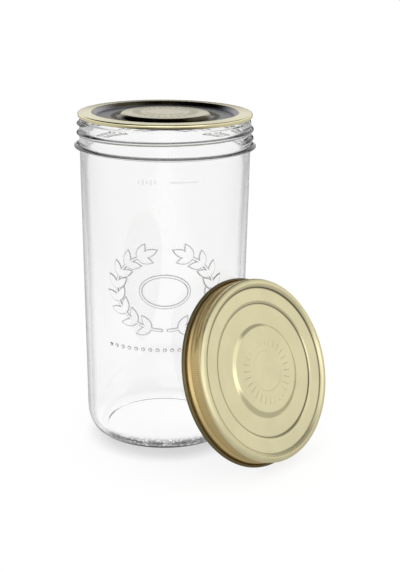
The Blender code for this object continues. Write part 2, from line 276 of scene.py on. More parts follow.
# Studio
METAL_HORIZON = (0.30, 0.52)
METAL_SIDES = (0.94, 0.85)
METAL_SIDE_RANGE = (-0.6, 0.6)
SIDE_PANEL = (0.66, 0.80)
SIDE_LIFT = 0.22
FRONT_PANEL = (-0.65, -0.45)
FRONT_LIGHT = 1.5
BACK_DIRECTIONS = (0.86, 0.94)
BACK_LOW = (0.08, 0.14)
BACK_HIGH = (0.17, 0.26)
BACK_LOW_SHADE = 0.85
BACK_HIGH_SHADE = 0.35
FRONT_TOP = (0.45, 0.60)
GLASS_HORIZON = (0.35, 0.60)
GLASS_CEILING = 0.02
CEILING = 0.0
CEILING_RIGHT = 0.42
CEILING_SIDE = (0.35, 0.50)
SOFT_BOXES = (((0.55, -0.38, 0.74), 1.1), ((0.43, -0.62, 0.66), 1.1), ((-0.10, -0.60, 0.79), 1.3))
SOFT_BOX_EDGE = 0.93
SOFT_BOX_CORE = 0.97
FLOOR_IN_METAL = 0.32
FLOOR_GLOW = 0.03
FLOOR_REACH = 8.0
FLOOR_DROP = 0.1 * MM
FLOOR_SHADE = 0.22
VIEW_SPREAD = 0.17
POOL_INNER = 140 * MM
POOL_OUTER = 400 * MM
POOL_EDGE = 0.40
# Painted light on the floor seen through glass, under the jar
UNDER_JAR = (42 * MM, 60 * MM)
UNDER_LIFT = 0.16
# Painted shadow on the floor under the front of the jar
CONTACT = (35 * MM, 55 * MM)
CONTACT_AHEAD = 14 * MM
CONTACT_SHADE = 0.24

lid_low, lid_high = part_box("sealing_lid")
JAR_AXIS = Vector(((lid_low.x + lid_high.x) / 2, (lid_low.y + lid_high.y) / 2, 0))
JAR_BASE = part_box("glass_jar")[0].z
LID_TOP = lid_high.z


def smooth_step(low, high, value):
    share = np.clip((value - low) / (high - low), 0, 1)
    return share * share * (3 - 2 * share)


def arc(centre, radii, start, end, steps):
    """Points of an elliptical arc in (radius, height), angles in degrees."""
    points = []
    for i in range(steps + 1):
        angle = math.radians(start + (end - start) * i / steps)
        points.append((centre[0] + radii[0] * math.cos(angle), centre[1] + radii[1] * math.sin(angle)))
    return points


def rows_between(first, last, spacing):
    """Points on a straight line after the first one, up to the last one, about this far apart."""
    length = math.hypot(last[0] - first[0], last[1] - first[1])
    count = max(1, round(length / spacing))
    return [
        (first[0] + (last[0] - first[0]) * i / count, first[1] + (last[1] - first[1]) * i / count)
        for i in range(1, count + 1)
    ]


def rounded(corners, bend, steps=5):
    """An outline through these corners with each inner corner rounded to about the same bend."""
    points = [corners[0]]
    for before, corner, after in zip(corners, corners[1:], corners[2:]):
        back = Vector(before) - Vector(corner)
        ahead = Vector(after) - Vector(corner)
        reach = min(bend, back.length * CORNER_REACH_SHARE, ahead.length * CORNER_REACH_SHARE)
        start = Vector(corner) + back.normalized() * reach
        end = Vector(corner) + ahead.normalized() * reach
        for i in range(steps + 1):
            share = i / steps
            spot = start * (1 - share) ** 2 + Vector(corner) * 2 * share * (1 - share) + end * share ** 2
            points.append(tuple(spot))
    points.append(corners[-1])
    return points


def with_supports(points, spacing):
    """The outline with long straight stretches split, so that smooth shading stays on the bends."""
    result = [points[0]]
    for first, last in zip(points, points[1:]):
        result += rows_between(first, last, spacing)
    return result


def grid_object(name, spots, first_pole, last_pole):
    """A closed-round mesh from rows of spots. A pole row becomes one vertex at its mean."""
    rows, columns = spots.shape[:2]
    body = spots[1 if first_pole else 0 : rows - 1 if last_pole else rows]
    count = body.shape[0]
    vertices = [tuple(v) for v in body.reshape(-1, 3)]
    faces = []
    for i in range(count - 1):
        for j in range(columns):
            k = (j + 1) % columns
            a, b = i * columns, (i + 1) * columns
            faces.append((a + j, b + j, b + k, a + k))
    if first_pole:
        pole = len(vertices)
        vertices.append(tuple(spots[0].mean(0)))
        faces += [(pole, j, (j + 1) % columns) for j in range(columns)]
    if last_pole:
        pole = len(vertices)
        vertices.append(tuple(spots[-1].mean(0)))
        start = (count - 1) * columns
        faces += [(pole, start + (j + 1) % columns, start + j) for j in range(columns)]
    mesh = bpy.data.meshes.new(name)
    mesh.from_pydata(vertices, [], faces)
    mesh.shade_smooth()
    made = bpy.data.objects.new(name, mesh)
    bpy.context.scene.collection.objects.link(made)
    return made


def turn(outline, angles, push=None):
    """Rows of spots of a turned outline. push(radii, heights, angles) says how far each moves outwards."""
    radii = np.array([p[0] for p in outline])[:, None]
    heights = np.array([p[1] for p in outline])[:, None]
    round_by = np.array(angles)[None, :]
    wide = radii + (push(radii, heights, round_by) if push else 0)
    wide = np.broadcast_to(wide, (len(outline), len(angles)))
    x = wide * np.sin(round_by)
    y = -wide * np.cos(round_by)
    z = np.broadcast_to(heights, wide.shape)
    return np.stack((x, y, z), axis=2)


def body_radius(height):
    """The body's radius, which grows evenly from the heel to the bead."""
    share = (height - HEEL_HEIGHT) / (BODY_TOP - HEEL_HEIGHT)
    return BODY_BOTTOM_RADIUS + (BODY_TOP_RADIUS - BODY_BOTTOM_RADIUS) * share


# Relief on the glass, drawn flat: along the wall and up it
RELIEF_MIDDLE = 105 * MM
RELIEF_RADIUS = body_radius(RELIEF_MIDDLE)
RELIEF_LOW = 60 * MM
RELIEF_HIGH = 146 * MM
RELIEF_EDGE = 56.0
WREATH_HEIGHT = 108 * MM
WREATH_WIDE = 31 * MM
WREATH_TALL = 25 * MM
BRANCH_START = -86.0
BRANCH_SWEEP = 150.0
BRANCH_STEPS = 24
STROKE_HALF = 1.35 * MM
STROKE_SIDE = 1.1 * MM
ORNAMENT_RISE = 0.8 * MM
LEAF_FIRST = 2
LEAF_STRIDE = 3
LEAF_TURNS = (-40.0, 40.0)
LEAF_LENGTH = 10 * MM
LEAF_WIDTH = 4.8 * MM
LEAF_SHAPE = 0.75
LEAF_STEPS = 8
OVAL_WIDE = 15 * MM
OVAL_TALL = 10 * MM
OVAL_STEPS = 48
DOTS_EACH_SIDE = 8
DOT_SPACING = 4.6 * MM
DOT_ROW_DROP = 13 * MM
DOT_HALF = 1.5 * MM
DOT_LENGTH = 0.1 * MM
FILL_HEIGHT = 176.2 * MM
FILL_ZONE = 3 * MM
FILL_HALF = 0.85 * MM
FILL_RISE = 0.6 * MM
FILL_LINE_ENDS = (3.5, 21.5)
TICKS = 5
TICK_START = -17.0
TICK_PITCH = 2.6
TICK_REACHES = (0.7 * MM, 1.3 * MM)


def stroke_height(u, v, line, rise):
    """Height of a flat-topped stroke along (u, v, half width) points."""
    inside = np.full(u.shape, -np.inf)
    for (u0, v0, half0), (u1, v1, half1) in zip(line, line[1:]):
        du, dv = u1 - u0, v1 - v0
        along = np.clip(((u - u0) * du + (v - v0) * dv) / (du * du + dv * dv), 0, 1)
        away = np.hypot(u - u0 - along * du, v - v0 - along * dv)
        inside = np.maximum(inside, half0 + (half1 - half0) * along - away)
    return rise * smooth_step(0, STROKE_SIDE, inside)


def leaf(root, heading):
    """A leaf from its root, widest before its middle and pointed at its tip."""
    line = []
    for i in range(LEAF_STEPS + 1):
        share = i / LEAF_STEPS
        half = LEAF_WIDTH / 2 * math.sin(math.pi * share ** LEAF_SHAPE) + STROKE_SIDE / 2
        u = root[0] + math.cos(heading) * LEAF_LENGTH * share
        v = root[1] + math.sin(heading) * LEAF_LENGTH * share
        line.append((u, v, half))
    return line


def branch_line(side):
    """One branch of the wreath, from the bottom up, on this side."""
    line = []
    for i in range(BRANCH_STEPS + 1):
        angle = math.radians(BRANCH_START + BRANCH_SWEEP * i / BRANCH_STEPS)
        u = side * WREATH_WIDE * math.cos(angle)
        v = WREATH_HEIGHT + WREATH_TALL * math.sin(angle)
        line.append((u, v, STROKE_HALF))
    return line


def wreath_lines():
    """Two leafy branches that meet at the bottom and leave a gap at the top, an oval, and a row of dots."""
    lines = []
    for side in (-1, 1):
        branch = branch_line(side)
        lines.append(branch)
        for i in range(LEAF_FIRST, BRANCH_STEPS, LEAF_STRIDE):
            u0, v0 = branch[i][:2]
            u1, v1 = branch[i + 1][:2]
            heading = math.atan2(v1 - v0, u1 - u0)
            for turn_by in LEAF_TURNS:
                lines.append(leaf((u0, v0), heading + math.radians(turn_by)))
        tip = branch[-1]
        heading = math.atan2(tip[1] - branch[-2][1], tip[0] - branch[-2][0])
        lines.append(leaf(tip[:2], heading))
    oval = []
    for i in range(OVAL_STEPS + 1):
        angle = math.tau * i / OVAL_STEPS
        oval.append((OVAL_WIDE * math.cos(angle), WREATH_HEIGHT + OVAL_TALL * math.sin(angle), STROKE_HALF))
    lines.append(oval)
    for i in range(-DOTS_EACH_SIDE, DOTS_EACH_SIDE + 1):
        u = DOT_SPACING * i
        v = WREATH_HEIGHT - WREATH_TALL - DOT_ROW_DROP
        lines.append([(u, v, DOT_HALF), (u + DOT_LENGTH, v, DOT_HALF)])
    return lines


def fill_marks():
    """The fill line, and beside it a row of short upright ticks."""
    radius = body_radius(FILL_HEIGHT)
    lines = [[(math.radians(end) * radius, FILL_HEIGHT, FILL_HALF) for end in FILL_LINE_ENDS]]
    for i in range(TICKS):
        u = math.radians(TICK_START + TICK_PITCH * i) * radius
        reach = TICK_REACHES[i % 2]
        lines.append([(u, FILL_HEIGHT - reach, FILL_HALF), (u, FILL_HEIGHT + reach, FILL_HALF)])
    return lines


def thread_height(heights, turn_of):
    """How far the thread rib stands out, rounded and tapering off at both ends."""
    out = np.zeros(heights.shape)
    for turns in range(math.ceil(THREAD_END / 360)):
        along = (turn_of % 360) + 360 * turns
        centre = THREAD_FOOT + THREAD_PITCH * (along - THREAD_START) / 360
        from_end = np.minimum(along - THREAD_START, THREAD_END - along) / THREAD_TAPER
        size = np.sin(np.clip(from_end, 0, 1) * math.pi / 2)
        half = np.where(heights > centre, THREAD_ABOVE, THREAD_BELOW) * np.maximum(size, THREAD_END_SHARE)
        inside = np.cos(np.clip((heights - centre) / half, -1, 1) * math.pi / 2) ** 2
        out = np.maximum(out, THREAD_RISE * size * inside)
    return out


def relief(heights, angles):
    """How far the jar's outside stands out: its thread, the fill mark and the raised ornament."""
    heights = np.broadcast_to(heights, (heights.shape[0], angles.shape[1]))
    turn_of = np.broadcast_to(np.degrees(angles), heights.shape)
    out = thread_height(heights, turn_of)
    from_front = (turn_of + 180) % 360 - 180
    columns = np.abs(from_front[0]) < RELIEF_EDGE
    ornament_rows = (heights[:, 0] > RELIEF_LOW) & (heights[:, 0] < RELIEF_HIGH)
    fill_rows = np.abs(heights[:, 0] - FILL_HEIGHT) < FILL_ZONE
    fields = (
        (ornament_rows, RELIEF_RADIUS, wreath_lines(), ORNAMENT_RISE),
        (fill_rows, body_radius(FILL_HEIGHT), fill_marks(), FILL_RISE),
    )
    for rows, radius, lines, rise in fields:
        picked = np.ix_(rows, columns)
        u = np.radians(from_front[picked]) * radius
        for line in lines:
            out[picked] = np.maximum(out[picked], stroke_height(u, heights[picked], line, rise))
    return out


def inside_rows():
    """Rows from the inner floor's middle up the inside to the mouth."""
    heel_top = FLOOR_TOP + INNER_HEEL_HEIGHT
    floor_edge = body_radius(heel_top) - WALL - INNER_HEEL_RADIUS
    rows = [(0, FLOOR_TOP)] + rows_between((0, FLOOR_TOP), (floor_edge, FLOOR_TOP), PLAIN_ROWS)
    rows += arc((floor_edge, heel_top), (INNER_HEEL_RADIUS, INNER_HEEL_HEIGHT), -90, 0, ARC_STEPS)[1:]
    shoulder = (body_radius(BODY_TOP - INNER_SHOULDER) - WALL, BODY_TOP - INNER_SHOULDER)
    mouth = (MOUTH_RADIUS, BODY_TOP + INNER_SHOULDER)
    corners = [rows[-1], shoulder, mouth, (MOUTH_RADIUS, JAR_HEIGHT - LIP_ROUNDING)]
    bends = rounded(corners, INNER_SHOULDER_BEND, SHOULDER_STEPS)[1:]
    return rows + rows_between(rows[-1], bends[0], PLAIN_ROWS) + with_supports(bends, SHOULDER_ROWS)[1:]


def lip_rows():
    """Rows over the lip and down its step to the neck."""
    rounding = (LIP_ROUNDING, LIP_ROUNDING)
    level = JAR_HEIGHT - LIP_ROUNDING
    rows = arc((MOUTH_RADIUS + LIP_ROUNDING, level), rounding, 180, 90, ARC_STEPS)[1:]
    rows += arc((LIP_RADIUS - LIP_ROUNDING, level), rounding, 90, 0, ARC_STEPS)
    step = JAR_HEIGHT - LIP_HEIGHT
    corners = [(LIP_RADIUS, level), (LIP_RADIUS, step), (NECK_RADIUS, step - LIP_SHOULDER)]
    corners.append((NECK_RADIUS, step - LIP_SHOULDER - LIP_FOOT_LENGTH))
    return rows + rounded(corners, LIP_BEND, LIP_BEND_STEPS)[1:]


def bead_rows(neck_start):
    """Rows down the neck and round the bead to the body's top."""
    above_steps, tip_steps, below_steps = BEAD_STEPS
    reach = BEAD_RADIUS - BEAD_TIP
    flare = (reach - NECK_RADIUS, BEAD_FLARE - BEAD_TIP)
    above = arc((reach, BEAD_HEIGHT + BEAD_FLARE), flare, 180, 270, above_steps)
    rows = rows_between(neck_start, above[0], NECK_ROWS) + above[1:]
    rows += arc((reach, BEAD_HEIGHT), (BEAD_TIP, BEAD_TIP), BEAD_TIP_ANGLE, -BEAD_TIP_ANGLE, tip_steps)
    undercut = (reach - BODY_TOP_RADIUS, BEAD_UNDERCUT - BEAD_TIP)
    return rows + arc((reach, BODY_TOP), undercut, 90, 180, below_steps)


def body_rows():
    """Rows down the body, close together where the glass is raised."""
    rows = []
    level = BODY_TOP
    while level > HEEL_HEIGHT:
        near_fill_line = abs(level - FILL_HEIGHT) < FILL_ROWS_REACH
        in_relief = RELIEF_LOW < level < RELIEF_HIGH
        level -= FILL_ROWS if near_fill_line else RELIEF_ROWS if in_relief else BODY_ROWS
        rows.append((body_radius(level), level))
    return [row for row in rows if row[1] > HEEL_HEIGHT + HEEL_CLEARANCE]


def foot_rows():
    """Rows round the heel, over the foot ring and up to the push-up's middle."""
    heel = (BODY_BOTTOM_RADIUS - FOOT_RADIUS, HEEL_HEIGHT)
    rows = arc((FOOT_RADIUS, HEEL_HEIGHT), heel, 0, -90, HEEL_STEPS)
    slope_foot = FOOT_RADIUS - FOOT_WIDTH
    slope_top = slope_foot - PUSH_UP_SLOPE
    corners = [rows[-1], (slope_foot, 0), (slope_top, PUSH_UP_HEIGHT), (0, PUSH_UP_HEIGHT)]
    return rows + rounded(corners, PUSH_UP_BEND)[1:]


def jar_angles():
    """Fine steps over the ornament at the front, coarser ones round the back."""
    fine = np.linspace(-RELIEF_EDGE, RELIEF_EDGE, FINE_COLUMNS)
    coarse = np.linspace(RELIEF_EDGE, 360 - RELIEF_EDGE, COARSE_COLUMNS + 2)[1:-1]
    return np.radians(np.concatenate((fine, coarse)))


def wall_ripple(heights, angles):
    """How far the inner wall stands out where it is uneven."""
    wall = (heights - FLOOR_TOP) / (BODY_TOP - FLOOR_TOP)
    waves = 0
    for size, across, up, start in RIPPLE_WAVES:
        waves = waves + size * np.sin(across * angles + up * wall + start)
    return RIPPLE * waves * smooth_step(*RIPPLE_FADE_IN, wall) * (1 - smooth_step(*RIPPLE_FADE_OUT, wall))


def line_share(heights, centre, half):
    """1 on a line at this height, falling to nothing past its half width."""
    return np.exp(-(((heights - centre) / half) ** LINE_POWER))


def painted_glass_shade(jar):
    """Share of painted shade on each vertex, at the front: in the bead's and the thread's hollows, on the
    sides of the raised strokes, and low on the heel, with clear specks."""
    heights = heights_of(jar)
    radii = radii_of(jar)
    turn_of = turns_of(jar)
    front = 1 - smooth_step(*GLASS_SHADE_SIDES, np.abs(turn_of))
    bead = line_share(heights, BEAD_HEIGHT + BEAD_LINE_UP, BEAD_LINE_HALF)
    crest = THREAD_FOOT + THREAD_PITCH * (turn_of + 360 - THREAD_START) / 360
    thread = line_share(heights, crest + THREAD_LINE_UP, THREAD_LINE_HALF)
    neck = np.maximum(bead, thread) * (radii > NECK_RADIUS - NECK_SKIN) * (heights > BODY_TOP)
    heel = HEEL_LINE_SHARE * line_share(heights, HEEL_LINE_UP, HEEL_LINE_HALF) * (radii > FOOT_RADIUS)
    heel = heel * (1 - smooth_step(*HEEL_SIDES, np.abs(turn_of)))
    across, up, spread = SPECK_WAVES
    scattered = np.sin(np.round(turn_of) * across + np.round(heights / MM) * up) * spread
    heel = heel * (scattered - np.floor(scattered) > HEEL_SPECKS)
    raised = np.clip((radii - body_radius(heights)) / ORNAMENT_RISE, 0, 1)
    raised = np.where((heights > RELIEF_LOW) & (heights < BODY_TOP - BODY_TOP_MARGIN), raised, 0)
    strokes = 4 * raised * (1 - raised) * np.where(heights > RELIEF_HIGH, FILL_LINE_SHARE, RELIEF_LINE_SHARE)
    return front * np.maximum(neck, np.maximum(heel, strokes))


def make_jar():
    inside = inside_rows() + lip_rows()
    inside_count = len(inside)
    outline = inside + bead_rows(inside[-1]) + body_rows() + foot_rows()
    angles = jar_angles()

    def push(radii, heights, round_by):
        out = np.zeros((len(outline), len(angles)))
        out[:inside_count] = wall_ripple(heights[:inside_count], round_by)
        out[inside_count:] = relief(heights[inside_count:], round_by)
        return out

    jar = grid_object("jar_glass", turn(outline, angles, push), True, True)
    # Painted shade on the glass, at the front
    paint(jar, "glass_shade", painted_glass_shade(jar))
    above_body = smooth_step(BODY_TOP - BODY_TOP_MARGIN, BODY_TOP, heights_of(jar))
    paint(jar, "shaded", 1 - (1 - NECK_EDGE_SHARE) * above_body)
    jar.location = JAR_AXIS + Vector((0, 0, JAR_BASE))
    jar.visible_shadow = False
    return jar


def lid_outline():
    """The lid's upper surface from its middle out and down its curled edge. Height 0 is the flange."""
    disc = LID_DISC_RADIUS
    corners = [(0, 0), (disc, 0), (disc + LID_WALL_SLOPE, -LID_CHANNEL_DEPTH)]
    corners.append((LID_CHANNEL_RADIUS - LID_WALL_SLOPE, -LID_CHANNEL_DEPTH))
    corners += [(LID_CHANNEL_RADIUS, FLANGE_LIFT), (LID_RADIUS - LID_EDGE_ROUNDING, 0)]
    points = with_supports(rounded(corners, LID_BEND), FACE_ROWS)
    edge = (LID_RADIUS - LID_EDGE_ROUNDING, -LID_EDGE_ROUNDING)
    points += arc(edge, (LID_EDGE_ROUNDING, LID_EDGE_ROUNDING), 90, 0, LID_EDGE_STEPS)[1:]
    curl = (LID_RADIUS - LID_CURL_RADIUS, LID_CURL_RADIUS - LID_RIM_HEIGHT)
    points += arc(curl, (LID_CURL_RADIUS, LID_CURL_RADIUS), 0, LID_CURL_END, LID_CURL_STEPS)
    return points


def disc_dome(x, y):
    """How far the lid's disc falls away towards its edge."""
    radii = np.hypot(x, y)
    share = np.clip((radii - DISC_DOME_START) / (LID_DISC_RADIUS - DISC_DOME_START), 0, 1)
    return DISC_DOME * share ** 2 * (1 - smooth_step(0, LID_WALL_SLOPE, radii - LID_DISC_RADIUS))


def disc_marks(x, y):
    """Raised ring and short bars, pressed into the middle disc of the lid and of the cap."""
    radii = np.hypot(x, y)
    turn_of = np.arctan2(y, x)
    ring = 1 - smooth_step(0, MARK_SOFT, np.abs(radii - MARK_RING))
    pitch = math.tau / MARK_BARS
    across = np.abs((turn_of / pitch + 0.5) % 1 - 0.5) * pitch * radii
    bar = 1 - smooth_step(MARK_BAR_WIDTH / 2 - MARK_SOFT / 2, MARK_BAR_WIDTH / 2 + MARK_SOFT / 2, across)
    bar = bar * smooth_step(MARK_BAR_INNER - MARK_SOFT, MARK_BAR_INNER, radii)
    bar = bar * (1 - smooth_step(MARK_BAR_OUTER, MARK_BAR_OUTER + MARK_SOFT, radii))
    return MARK_RISE * np.maximum(ring, bar)


def radii_of(piece):
    return np.array([math.hypot(vertex.co.x, vertex.co.y) for vertex in piece.data.vertices])


def heights_of(piece):
    return np.array([vertex.co.z for vertex in piece.data.vertices])


def turns_of(piece):
    """Each vertex's angle round the piece's axis, in degrees from the front."""
    return np.degrees([math.atan2(vertex.co.x, -vertex.co.y) for vertex in piece.data.vertices])


def paint(piece, name, values):
    """Store one number on every vertex, for the material to read."""
    layer = piece.data.attributes.new(name, "FLOAT", "POINT")
    layer.data.foreach_set("value", values.astype(np.float32))


def thicken(piece):
    """Give the sheet its thickness. Its inner side takes the second material."""
    shell = piece.modifiers.new("Sheet", "SOLIDIFY")
    shell.thickness = SHEET
    shell.use_even_offset = True
    shell.material_offset = 1


def rim_shade(lid):
    """Share of painted shade under the lid's rolled edge, at the front."""
    lowest = LID_CURL_RADIUS - LID_RIM_HEIGHT
    low = 1 - smooth_step(lowest, lowest + RIM_SHADE_FADE, heights_of(lid))
    front = 1 - smooth_step(*RIM_SHADE_SIDES, np.abs(turns_of(lid)))
    return low * front * (radii_of(lid) > LID_RADIUS - 2 * LID_CURL_RADIUS)


def paint_lid(lid):
    """A painted grey reflection in the outer channel; painted shade in the inner channel round the disc, on
    the wall at the back, under the edge at the front and, lighter, on the disc.
    """
    radii = radii_of(lid)
    channel = smooth_step(0, LID_WALL_SLOPE / 2, radii - LID_DISC_RADIUS + LID_BEND / 2)
    channel = channel * (1 - smooth_step(0, LID_WALL_SLOPE / 2, radii - LID_CHANNEL_RADIUS + LID_BEND))
    past_shade_ring = channel * smooth_step(-LID_BEND, LID_BEND, radii - LID_SHADE_RING_RADIUS)
    back_wall = smooth_step(0, LID_BEND, radii - LID_CHANNEL_RADIUS + LID_WALL_SLOPE)
    back_wall = back_wall * smooth_step(*LID_BACK_SHADE_SIDES, np.abs(turns_of(lid)))
    dark = channel * np.maximum(1 - past_shade_ring, back_wall)
    disc = LID_DISC_SHADE * (radii < LID_DISC_RADIUS)
    past_disc = channel * smooth_step(0, LID_BEND, radii - LID_DISC_RADIUS - LID_WALL_SLOPE)
    # Painted shade, then the painted grey reflection of the outer channel
    paint(lid, "painted_shade", np.maximum(np.maximum(dark, disc), rim_shade(lid)))
    paint(lid, "wall", past_shade_ring)
    paint(lid, "rolled", past_disc * (1 - back_wall))
    paint(lid, "curl", np.zeros(len(radii)))


def make_lid():
    angles = np.linspace(0, math.tau, LID_COLUMNS, endpoint=False)
    spots = turn(lid_outline(), angles)
    spots[..., 2] += disc_marks(spots[..., 0], spots[..., 1]) - disc_dome(spots[..., 0], spots[..., 1])
    lid = grid_object("lid_sheet", spots, True, False)
    paint_lid(lid)
    lid.location = JAR_AXIS + Vector((0, 0, LID_TOP))
    thicken(lid)
    return lid


def cap_outline():
    """The cap's outer surface from the face's middle out and down to the curl. Height 0 is its open edge."""
    rim = CAP_HEIGHT - CAP_RIM_DEPTH
    panel = rim - CAP_PANEL_DEPTH
    disc = panel + CAP_DISC_HEIGHT
    corners = [(0, disc), (CAP_DISC_RADIUS - CAP_DISC_SLOPE, disc), (CAP_DISC_RADIUS, panel)]
    corners += [(CAP_PANEL_RADIUS - CAP_PANEL_SLOPE, panel), (CAP_PANEL_RADIUS, rim), (CAP_RIM_RADIUS, rim)]
    shoulder = (CAP_SKIRT_RADIUS - CAP_SHOULDER_WIDTH, CAP_HEIGHT - CAP_SHOULDER_HEIGHT)
    crown = arc(shoulder, (CAP_SHOULDER_WIDTH, CAP_SHOULDER_HEIGHT), 90, 0, CAP_CROWN_STEPS)
    points = with_supports(rounded(corners + crown[:2], CAP_BEND), FACE_ROWS) + crown[2:]
    points += rows_between(points[-1], (CAP_SKIRT_RADIUS, CAP_CURL_RADIUS), SKIRT_ROWS)
    curl = CAP_CURL_RADIUS - SHEET
    curl_centre = (CAP_SKIRT_RADIUS + curl, CAP_CURL_RADIUS)
    points += arc(curl_centre, (curl, curl), 180, CAP_CURL_END, CAP_CURL_STEPS)[1:]
    return points


def cap_push(radii, heights, angles):
    """The rolled thread pressed into the skirt, and the fine knurl round it."""
    heights = np.broadcast_to(heights, (heights.shape[0], angles.shape[1]))
    on_skirt = np.abs(radii - CAP_SKIRT_RADIUS) < SKIRT_TOLERANCE
    total = CAP_THREAD_TURNS * 360
    pressed = np.zeros(heights.shape)
    for turns in range(math.ceil(CAP_THREAD_TURNS)):
        along = (np.degrees(angles) - CAP_THREAD_START) % 360 + 360 * turns
        centre = CAP_THREAD_START_HEIGHT + THREAD_PITCH * along / 360
        away = np.clip(np.abs(heights - centre) / CAP_THREAD_WIDTH, 0, 0.5)
        from_end = np.clip(np.minimum(along, total - along) / CAP_THREAD_TAPER, 0, 1)
        pressed += CAP_THREAD_DEPTH * np.cos(math.pi * away) ** 2 * np.sin(math.pi / 2 * from_end)
    band = smooth_step(KNURL_LOW, KNURL_LOW + KNURL_FADE, heights)
    band = band * (1 - smooth_step(KNURL_HIGH - KNURL_FADE, KNURL_HIGH, heights))
    knurl = KNURL_DEPTH * 0.5 * (1 + np.cos(KNURL_COUNT * angles))
    return np.where(on_skirt, -pressed - band * knurl, 0)


def cap_matrix():
    """The leaning cap's place, read from its solid: on the joint's axis, with its origin at the open edge."""
    axis = Vector(next(j["axis"] for j in frame["joints"] if j["child"] == "cap")).normalized()
    across = Vector((0, 0, 1)).cross(axis).normalized()
    up = axis.cross(across)
    spots = [v.co for v in frame["nodes"]["screw_cap"].data.vertices]

    def middle(direction):
        reach = [spot.dot(direction) for spot in spots]
        return (min(reach) + max(reach)) / 2

    edge = min(spot.dot(axis) for spot in spots)
    origin = across * middle(across) + up * middle(up) + axis * edge
    turned = Matrix((across, up, axis)).transposed().to_4x4()
    return Matrix.Translation(origin) @ turned


def paint_cap(cap):
    """Painted shade in the creases, strongest on one side, a darker, browner gold on the skirt, and a dark
    curl.
    """
    radii = radii_of(cap)
    heights = heights_of(cap)
    turn_of = turns_of(cap)
    crease_shade = np.zeros(len(radii))
    for radius, side, least in CREASE_SHADES:
        share = least + (1 - least) * (0.5 + 0.5 * np.cos(np.radians(turn_of - side)))
        width = CREASE_SHADE_WIDTH * (0.5 + share)
        crease_shade = np.maximum(crease_shade, share * np.exp(-((radii - radius) / width) ** 2))
    on_side = heights < KNURL_HIGH
    shoulder_start = CAP_SKIRT_RADIUS - CAP_SHOULDER_WIDTH * SKIRT_START_SHARE
    shoulder_end = CAP_HEIGHT - CAP_SHOULDER_HEIGHT + SKIRT_FADE_UP
    skirt = smooth_step(shoulder_start, CAP_SKIRT_RADIUS, radii)
    skirt = skirt * (1 - smooth_step(KNURL_HIGH, shoulder_end, heights))
    shoulder = smooth_step(CAP_RIM_RADIUS, CAP_RIM_RADIUS + SHOULDER_FADE, radii)
    # Painted shade in the creases of the face
    paint(cap, "painted_shade", crease_shade * (heights > CAP_HEIGHT / 2))
    paint(cap, "wall", np.maximum(skirt, on_side))
    paint(cap, "rolled", np.maximum(shoulder, on_side))
    paint(cap, "curl", smooth_step(0, CURL_FADE, radii - CAP_SKIRT_RADIUS))


def make_cap():
    angles = np.linspace(0, math.tau, KNURL_COUNT * KNURL_COLUMNS, endpoint=False)
    spots = turn(cap_outline(), angles, cap_push)
    spots[..., 2] += np.where(spots[..., 2] > CAP_HEIGHT / 2, disc_marks(spots[..., 0], spots[..., 1]), 0)
    cap = grid_object("cap_sheet", spots, True, False)
    paint_cap(cap)
    cap.data.transform(cap_matrix())
    thicken(cap)
    return cap


def new_material(name):
    """A material with its nodes and links."""
    made = bpy.data.materials.new(name)
    made.use_nodes = True
    return made, made.node_tree.nodes, made.node_tree.links


def mix_colours(nodes, links, share, plain, other):
    """The plain colour, or the other one where the share is 1."""
    choose = nodes.new("ShaderNodeMix")
    choose.data_type = "RGBA"
    for socket, value in ((choose.inputs[0], share), (choose.inputs[6], plain), (choose.inputs[7], other)):
        if isinstance(value, tuple):
            socket.default_value = (*value, 1)
        else:
            links.new(value, socket)
    return choose.outputs[2]


def mix_values(nodes, links, share, plain, other):
    """The plain value, or the other one where the share is 1."""
    choose = nodes.new("ShaderNodeMix")
    links.new(share, choose.inputs[0])
    for socket, value in ((choose.inputs[2], plain), (choose.inputs[3], other)):
        if isinstance(value, (int, float)):
            socket.default_value = value
        else:
            links.new(value, socket)
    return choose.outputs[0]


def blend_range(nodes, links, value, low, high, at_low, at_high):
    """A smooth step of a socket's value."""
    step = nodes.new("ShaderNodeMapRange")
    step.interpolation_type = "SMOOTHSTEP"
    step.inputs["From Min"].default_value = low
    step.inputs["From Max"].default_value = high
    step.inputs["To Min"].default_value = at_low
    step.inputs["To Max"].default_value = at_high
    links.new(value, step.inputs["Value"])
    return step.outputs[0]


def reckon(nodes, links, operation, *values):
    """One step of arithmetic on sockets and numbers."""
    step = nodes.new("ShaderNodeMath")
    step.operation = operation
    for socket, value in zip(step.inputs, values):
        if isinstance(value, (int, float)):
            socket.default_value = value
        else:
            links.new(value, socket)
    return step.outputs[0]


def measure(nodes, links, operation, place, spot=None):
    """One number from a place: its length, or how it lies to a fixed spot."""
    step = nodes.new("ShaderNodeVectorMath")
    step.operation = operation
    links.new(place, step.inputs[0])
    if spot is not None:
        step.inputs[1].default_value = spot
    return step.outputs["Value"]


def noise(nodes, links, scale, detail=2.0):
    """Noise over the piece's own coordinates, about 0 to 1 round 0.5."""
    place = nodes.new("ShaderNodeTexCoord").outputs["Object"]
    made = nodes.new("ShaderNodeTexNoise")
    made.inputs["Scale"].default_value = scale
    made.inputs["Detail"].default_value = detail
    links.new(place, made.inputs["Vector"])
    return made.outputs["Fac"]


def attribute(nodes, name):
    """A number painted on the vertices."""
    made = nodes.new("ShaderNodeAttribute")
    made.attribute_name = name
    return made.outputs["Fac"]


def add_bump(nodes, links, height, strength, distance):
    """Let the surface rise and fall with this height."""
    bump = nodes.new("ShaderNodeBump")
    bump.inputs["Strength"].default_value = strength
    bump.inputs["Distance"].default_value = distance
    links.new(height, bump.inputs["Height"])
    links.new(bump.outputs["Normal"], nodes["Principled BSDF"].inputs["Normal"])


